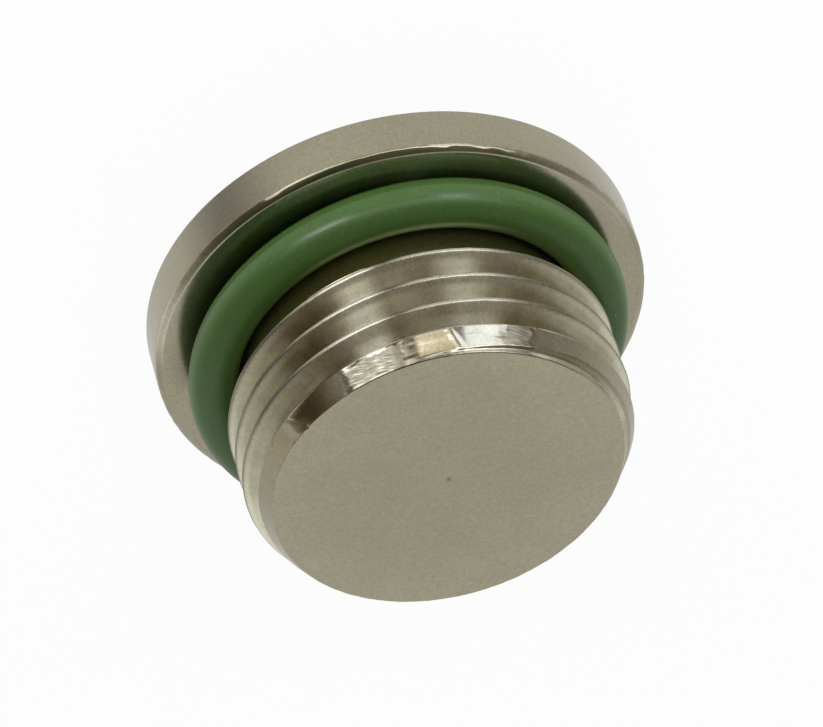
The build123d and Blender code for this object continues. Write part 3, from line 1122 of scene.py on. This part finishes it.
def moulded_fluoro_rubber(settings):
    """Green fluoro rubber, moulded: a deep, even colour with a soft sheen.

    The eye gets painted light as a paler green in soft clouds on the outer side, a paler painted light along
    the inner side, a fine tooth in the highlight and a few specks of dust.
    """
    material, tree = new_material("Fluoro rubber, moulded")
    place = add(tree, "TexCoord").outputs["Object"]
    bloom, pale, roughness, gloss = [
        add(tree, "Attribute", attribute_name=name).outputs["Fac"]
        for name in ("bloom", "pale", "roughness", "gloss")
    ]
    cloud, tooth, dust = [
        add(tree, "TexNoise", {"Vector": place, "Scale": per_size(size), "Detail": detail})
        for size, detail in RUBBER_NOISES
    ]
    film, speckle, specks = [
        add(tree, "MapRange", {"Value": value, **dict(zip(RANGE, spread))})
        for value, spread in ((cloud, RUBBER_CLOUDS), (tooth, RUBBER_SPECKLE), (dust, RUBBER_SPECKS))
    ]
    # painted light: the paler green in clouds on the outer side, then pale painted light and dust specks
    clouded = add(tree, "Math", {0: film, 1: bloom}, operation="MULTIPLY")
    covered = add(tree, "Math", {0: specks, 1: pale}, operation="MAXIMUM")
    skin = (*settings.rubber, 1)
    for share, over in ((clouded, settings.bloom), (covered, settings.dust)):
        layers = {MIX_FACTOR: share, MIX_A: skin, MIX_B: (*over, 1)}
        skin = add(tree, "Mix", layers, **COLOURS).outputs[MIX_RESULT]
    skin = add(tree, "Mix", {MIX_FACTOR: 1.0, MIX_A: skin, MIX_B: speckle}, **TIMES).outputs[MIX_RESULT]
    bump = add(tree, "Bump", {"Height": tooth, "Strength": RUBBER_RELIEF, "Distance": GRAIN_DEPTH})
    look = {"Base Color": skin, "Roughness": roughness, "Specular IOR Level": gloss, "Normal": bump}
    add(tree, "OutputMaterial", {"Surface": add(tree, "BsdfPrincipled", look)})
    return material


FLOOR_HALF = 6.0
FLOOR_GLOW = 0.95


def studio_floor(settings):
    """Matt white board: it looks white to the camera and in the metal, and still takes a soft shadow."""
    material, tree = new_material("White board, matt")
    rays = add(tree, "LightPath").outputs
    seen = add(tree, "Math", {0: rays["Is Camera Ray"], 1: rays["Is Glossy Ray"]}, operation="MAXIMUM")
    through = add(tree, "Math", {0: seen, 1: rays["Is Transmission Ray"]}, operation="MAXIMUM")
    glow = add(tree, "Math", {0: through, 1: FLOOR_GLOW}, operation="MULTIPLY")
    matt = add(tree, "BsdfDiffuse", {"Color": (*settings.floor, 1)})
    white = add(tree, "Emission", {"Color": (*settings.floor, 1), "Strength": 1.0})
    add(tree, "OutputMaterial", {"Surface": add(tree, "MixShader", {0: glow, 1: matt, 2: white})})
    return material


# the room grows bright along this direction, over this range of its cosine
ROOM_LEAN = (0.0, 0.936, 0.351)
ROOM_RANGE = (0.25, 0.85)


def studio_room(settings):
    """The room as soft light: bright behind the plug, a dim brown above and before it."""
    world = bpy.data.worlds.new("Soft room")
    world.use_nodes = True
    tree = world.node_tree
    tree.nodes.clear()
    direction = add(tree, "TexCoord").outputs["Generated"]
    lean = add(tree, "VectorMath", {0: direction, 1: ROOM_LEAN}, operation="DOT_PRODUCT").outputs["Value"]
    spread = {"Value": lean, **dict(zip(RANGE, ROOM_RANGE))}
    share = add(tree, "MapRange", spread, interpolation_type="SMOOTHSTEP")
    sides = {MIX_FACTOR: share, MIX_A: (*settings.room_dark, 1), MIX_B: (*settings.room_bright, 1)}
    wall = add(tree, "Mix", sides, **COLOURS).outputs[MIX_RESULT]
    add(tree, "OutputWorld", {"Surface": add(tree, "Background", {"Color": wall, "Strength": 1.0})})
    bpy.context.scene.world = world


# softboxes: name, azimuth from the front towards +X, elevation, distance, width, height, brightness, colour
SOFTBOXES = (
    ("front_left", 20.5, 18.0, 400, 222, 250, 2.1, "#f8fbff"),
    ("front_left_core", 20.5, 18.0, 399, 222, 70, 1.5, "#f8fbff"),
    ("front_warm", -14.0, 12.0, 400, 141, 166, 0.84, "#fff2d6"),
    ("front_high", -32.0, 29.0, 400, 540, 84, 3.0, "#f8fbff"),
    ("front_right", -40.5, 10.0, 400, 133, 140, 2.05, "#e6f0ff"),
    ("front_far_right", -58.0, 9.0, 400, 112, 126, 0.8, "#f8fbff"),
    ("side_left", 94.0, 8.0, 400, 220, 110, 0.58, "#fffaf0"),
)


def softbox(name, azimuth, elevation, distance, width, height, brightness, tint):
    """A rectangular lamp that faces the plug; its power is brightness times pi times its area."""
    lamp = bpy.data.lights.new(name, "AREA")
    lamp.shape = "RECTANGLE"
    lamp.size = width * MM
    lamp.size_y = height * MM
    lamp.color = linear(tint)
    lamp.energy = brightness * math.pi * lamp.size * lamp.size_y
    holder = into_scene(name, lamp)
    a = math.radians(azimuth)
    e = math.radians(elevation)
    back = np.array([math.sin(a) * math.cos(e), -math.cos(a) * math.cos(e), math.sin(e)])
    right = np.array([math.cos(a), math.sin(a), 0.0])
    place(holder, back * distance * MM, right, back)
    holder.visible_camera = False


def place(holder, location, right, back):
    """Sets an object so that it looks along -back, with right as its own X."""
    up = np.cross(back, right)
    matrix = np.identity(4)
    matrix[:3, :3] = np.stack([right, up, back], axis=1)
    matrix[:3, 3] = location
    holder.matrix_world = matrix.T


CAMERA_CLIP = (1 * MM, 100.0)


def studio_camera(settings):
    """The camera: it looks down at the plug from the front and is turned about its own axis."""
    camera = bpy.data.cameras.new("camera")
    camera.lens = settings.lens
    camera.clip_start, camera.clip_end = CAMERA_CLIP
    holder = into_scene("camera", camera)
    back = np.array([0.0, -math.cos(settings.elevation), math.sin(settings.elevation)])
    level = np.array([1.0, 0.0, 0.0])
    upright = np.cross(back, level)
    right = math.cos(settings.roll) * level + math.sin(settings.roll) * upright
    place(holder, np.array(settings.target) + settings.distance * back, right, back)
    bpy.context.scene.camera = holder


class PIPE_PLUG_OT_body(bpy.types.Operator):
    """Build the turned, nickel-plated body with its thread and its socket"""

    bl_idname = "pipe_plug.body"
    bl_label = "Plug body"

    def execute(self, context):
        settings = context.scene.plug_body_settings
        mesh = plug_body_mesh(settings)
        show_piece(mesh, "plug_body", nickel_plated_brass(settings))
        return {"FINISHED"}


class PIPE_PLUG_OT_o_ring(bpy.types.Operator):
    """Build the green sealing ring under the collar"""

    bl_idname = "pipe_plug.o_ring"
    bl_label = "Sealing ring"

    def execute(self, context):
        settings = context.scene.sealing_ring_settings
        mesh = o_ring_mesh(settings)
        show_piece(mesh, "o_ring", moulded_fluoro_rubber(settings))
        return {"FINISHED"}


class PIPE_PLUG_OT_studio(bpy.types.Operator):
    """Set up the floor, the room, the softboxes and the camera"""

    bl_idname = "pipe_plug.studio"
    bl_label = "Studio"

    def execute(self, context):
        settings = context.scene.studio_settings
        corners = [(x * FLOOR_HALF, y * FLOOR_HALF, 0.0) for x, y in ((-1, -1), (1, -1), (1, 1), (-1, 1))]
        mesh = bpy.data.meshes.new("floor")
        mesh.from_pydata(corners, [], [(0, 1, 2, 3)])
        mesh.materials.append(studio_floor(settings))
        floor = into_scene("floor", mesh)
        studio_room(settings)
        for lamp in SOFTBOXES:
            softbox(*lamp)
        studio_camera(settings)
        context.scene.view_settings.view_transform = "Standard"
        return {"FINISHED"}


class PIPE_PLUG_PT_sidebar(bpy.types.Panel):
    """The plug's settings and its operators"""

    bl_idname = "PIPE_PLUG_PT_sidebar"
    bl_label = "Pipe plug"
    bl_space_type = "VIEW_3D"
    bl_region_type = "UI"
    bl_category = "Pipe plug"

    def draw(self, context):
        for operator, group in BUILD_ORDER:
            box = self.layout.box()
            box.operator(operator.bl_idname)
            settings = getattr(context.scene, group)
            for name in settings.bl_rna.properties.keys():
                if name not in {"rna_type", "name"}:
                    box.prop(settings, name)


SETTINGS = {
    "plug_body_settings": PlugBodySettings,
    "sealing_ring_settings": SealingRingSettings,
    "studio_settings": StudioSettings,
}
BUILD_ORDER = (
    (PIPE_PLUG_OT_body, "plug_body_settings"),
    (PIPE_PLUG_OT_o_ring, "sealing_ring_settings"),
    (PIPE_PLUG_OT_studio, "studio_settings"),
)
CLASSES = (*SETTINGS.values(), *(operator for operator, group in BUILD_ORDER), PIPE_PLUG_PT_sidebar)


def register():
    """Adds the classes, and the settings to the scene."""
    for made in CLASSES:
        bpy.utils.register_class(made)
    for name, group in SETTINGS.items():
        setattr(bpy.types.Scene, name, bpy.props.PointerProperty(type=group))


def unregister():
    """Takes the settings and the classes out again."""
    for name in SETTINGS:
        delattr(bpy.types.Scene, name)
    for made in reversed(CLASSES):
        bpy.utils.unregister_class(made)


def main():
    """Builds the pieces and the stage in order."""
    register()
    bpy.ops.pipe_plug.body()
    bpy.ops.pipe_plug.o_ring()
    bpy.ops.pipe_plug.studio()


if __name__ == "__main__":
    main()
